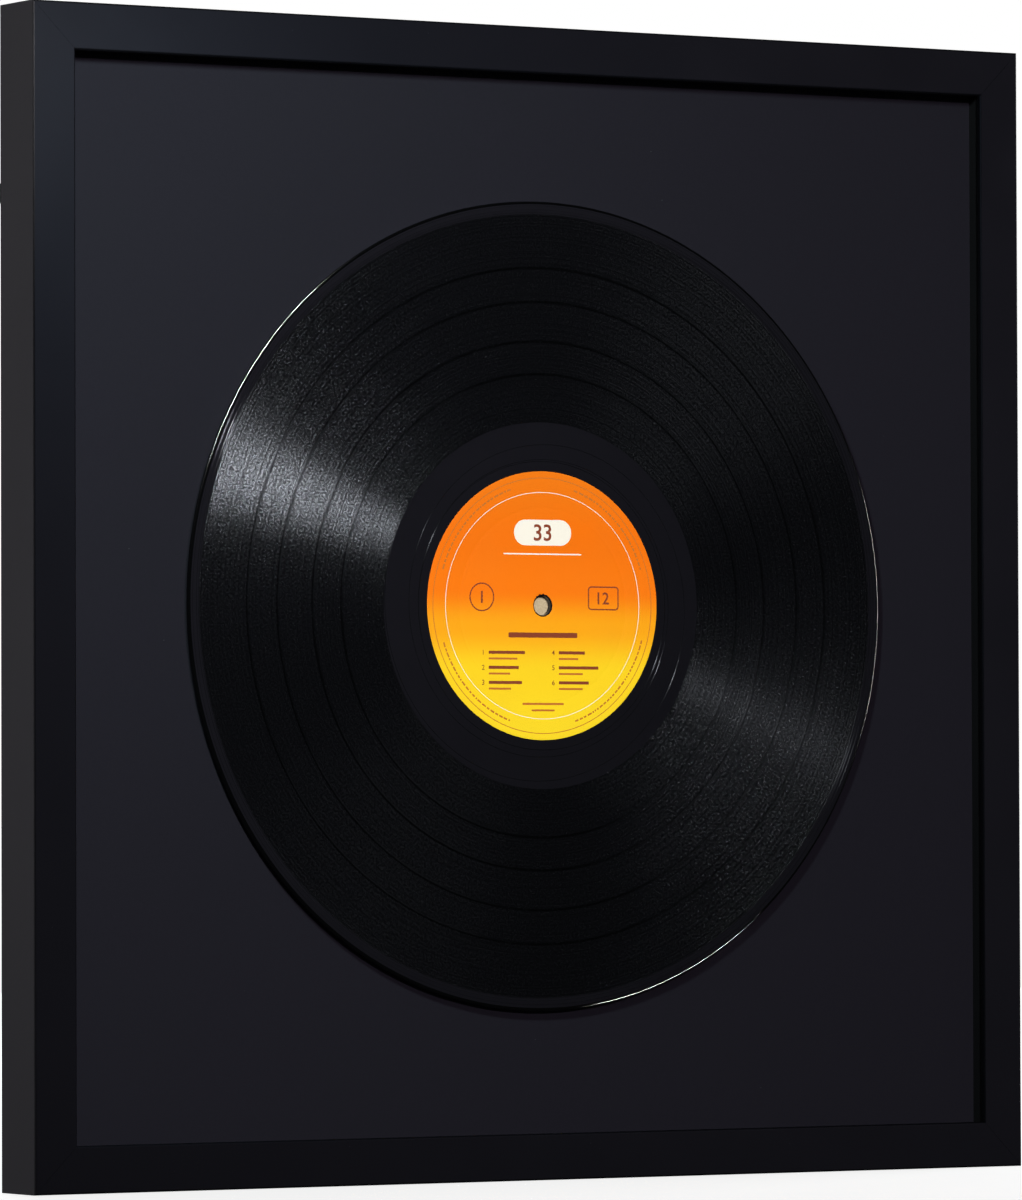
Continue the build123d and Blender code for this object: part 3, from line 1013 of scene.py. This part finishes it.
def strip_light(name, end_a, end_b, look_at, wide, watts, colour=(1, 1, 1)):
    """A long narrow light from end_a to end_b."""
    a, b, t = Vector(end_a), Vector(end_b), Vector(look_at)
    o = area_light(name, (a + b) / 2, look_at, (b - a).length, watts, colour, wide)
    x = (b - a).normalized()
    z = ((a + b) / 2 - t)
    z = (z - x * z.dot(x)).normalized()
    y = z.cross(x)
    m = Matrix((x, y, z)).transposed()
    o.rotation_quaternion = m.to_quaternion()
    return o


PRESSING = [bpy.data.objects[k] for k in ("record_grooves", "record_run_out", "record_lead_in")]
SMOOTH = [bpy.data.objects[k] for k in ("record_land", "record_rim")]
RAILS = [bpy.data.objects[k + "_lacquered"] for k in ("top_rail", "right_rail", "bottom_rail", "left_rail")]
BOARD = [NODES[k] for k in ("mount_board", "spacer_top", "spacer_bottom", "spacer_left", "spacer_right")]
LABEL = [bpy.data.objects[k] for k in ("label_front_paper", "label_front_print_dark", "label_front_print_brown",
                                       "label_front_print_cream")] + [NODES["record_spacer_pad"]]
BEAD = [bpy.data.objects["record_edge"]]

# lights that the grooves catch
for name, where, size, size_y, strength in (
        ("fan_near", (-0.005, -0.25, 0.056), 0.029, 0.020, 0.028),
        ("fan_key", (-0.208, -0.82, 0.319), 0.040, 0.048, 2.15),
        ("fan_right", (1.24, -2.60, 0.225), 0.16, 0.06, 0.178),
        ("fan_far", (2.50, -2.60, 0.724), 1.043, 0.415, 0.37)):
    lamp = area_light(name, where, (0, 0, 0), size, math.pi * strength, (0.86, 0.90, 1.0), size_y)
    lamp.visible_diffuse = False
    only_on(lamp, *PRESSING)
# near and far lights for the disc, the board and the moulding
lamp = area_light("disc_key", (-0.34, -0.561, 0.398), (0, 0, 0), 0.040, math.pi * 0.56, (0.82, 0.92, 1.0), 0.043)
lamp.visible_glossy = False
only_on(lamp, *PRESSING, *SMOOTH, *BEAD)
lamp = area_light("board_key", (-0.381, -0.43, 0.382), (0, 0, 0), 0.075, math.pi * 0.545, (0.79, 0.985, 0.99), 0.075)
only_on(lamp, *BOARD)
lamp = area_light("board_fill", (-0.608, -2.6, 0.972), (0, 0, 0), 0.16, math.pi * 4.25, (0.96, 0.825, 1.0), 0.16)
only_on(lamp, *BOARD)
lamp = area_light("rail_key", (-0.114, -0.30, 0.22), (0, 0, 0), 0.03, math.pi * 0.054, (0.56, 0.715, 1.0), 0.03)
only_on(lamp, *RAILS)
lamp = area_light("rail_fill", (1.635, -2.6, 0.367), (0, 0, 0), 0.30, math.pi * 1.33, (0.775, 0.725, 1.0), 0.30)
only_on(lamp, *RAILS)
glint = area_light("arris_glint", (-0.322, -0.255, 0.235), (-0.2145, -0.03, 0.20), 0.03, math.pi * 0.006, (0.97, 0.95, 1.0), 0.03, 40.0)
glint.visible_diffuse = False
only_on(glint, *RAILS)
# the edge of the disc catches three long lights
for name, a, b, strength in (
        ("edge_upper_left", (-0.259, -0.163, 0.781), (-0.682, -0.278, 0.415), 9.5),
        ("edge_right", (0.79, -0.36, -0.11), (0.79, -0.36, 0.14), 0.6),
        ("edge_low", (0.45, -0.125, -0.64), (0.74, -0.14, -0.46), 2.2)):
    lamp = strip_light(name, a, b, (0, -0.0245, 0), 0.08, math.pi * strength)
    lamp.visible_diffuse = False
    only_on(lamp, *BEAD)
label_light = area_light("label_light", (-0.25, -1.5, 0.45), (0.0, -0.025, 0.0), 0.30, math.pi * 9.9, (1.0, 0.985, 0.97))
only_on(label_light, *LABEL)
# both sides and the back
area_light("left_side_softbox", (-1.8, 1.50, 0.27), (-0.2145, -0.013, 0.05), 0.9, math.pi * 1.21, (0.955, 0.93, 1.0), 0.9)
wash = area_light("left_side_wash", (-2.2, 0.30, 0.10), (-0.2145, -0.013, 0.0), 0.5, math.pi * 11.0, (0.955, 0.93, 1.0), 0.5)
wash.visible_glossy = False
only_on(wash, *RAILS)
area_light("right_side_softbox", (1.8, 0.40, 0.30), (0.2145, -0.013, 0.05), 0.9, math.pi * 4.4, (0.98, 0.99, 1.0), 0.9)
area_light("back_softbox", (0.45, 1.9, 1.0), (0.0, 0.0, 0.0), 1.1, math.pi * 6.5, (1.0, 0.99, 0.98), 0.8)
area_light("back_wall", (1.45, 2.7, 0.5), (0.2, 0.0, 0.0), 3.0, math.pi * 8.0, (0.98, 0.99, 1.0), 2.2)

card = area_light("hardware_card", (0.75, 0.95, -0.19), (0.75, 0.95, 1.0), 2.0, math.pi * 1.5, (1.0, 1.0, 1.0), 1.5)
only_on(card, *[NODES[k] for k in NODES if k.startswith(("turn_button", "hanger_", "corner_v"))])

world = bpy.data.worlds.new("studio")
scene.world = world
world.use_nodes = True
wt = world.node_tree
wt.nodes.clear()
w_out = wt.nodes.new("ShaderNodeOutputWorld")
w_path = wt.nodes.new("ShaderNodeLightPath")
w_mix = wt.nodes.new("ShaderNodeMixShader")
w_dim = wt.nodes.new("ShaderNodeBackground")
w_lit = wt.nodes.new("ShaderNodeBackground")
w_dim.inputs["Color"].default_value = (0.9, 0.95, 1.0, 1.0)
w_dim.inputs["Strength"].default_value = 0.02
w_lit.inputs["Color"].default_value = (1.0, 1.0, 1.0, 1.0)
w_lit.inputs["Strength"].default_value = 1.0
wt.links.new(w_path.outputs["Is Camera Ray"], w_mix.inputs[0])
wt.links.new(w_dim.outputs[0], w_mix.inputs[1])
wt.links.new(w_lit.outputs[0], w_mix.inputs[2])
wt.links.new(w_mix.outputs[0], w_out.inputs["Surface"])

yaw, pitch, roll = math.radians(31.214), math.radians(1.469), math.radians(-0.172)
fwd = Vector((math.sin(yaw) * math.cos(pitch), math.cos(yaw) * math.cos(pitch), math.sin(pitch)))
right = Vector((math.cos(yaw), -math.sin(yaw), 0.0))
up = right.cross(fwd)
r2 = math.cos(roll) * right + math.sin(roll) * up
u2 = -math.sin(roll) * right + math.cos(roll) * up
cam_data = bpy.data.cameras.new("photo_camera")
cam = bpy.data.objects.new("photo_camera", cam_data)
scene.collection.objects.link(cam)
m = Matrix.Identity(4)
for i in range(3):
    m[i][0], m[i][1], m[i][2] = r2[i], u2[i], -fwd[i]
m[0][3], m[1][3], m[2][3] = -1.5935, -2.6354, -0.0773
cam.matrix_world = m
cam_data.sensor_width = 36.0
cam_data.sensor_fit = "AUTO"
cam_data.lens = 246.46
cam_data.clip_start = 0.05
cam_data.clip_end = 500.0
scene.camera = cam

scene.view_settings.view_transform = "Standard"
scene.view_settings.look = "None"
scene.view_settings.exposure = 0.0
scene.view_settings.gamma = 1.0

bpy.context.view_layer.update()
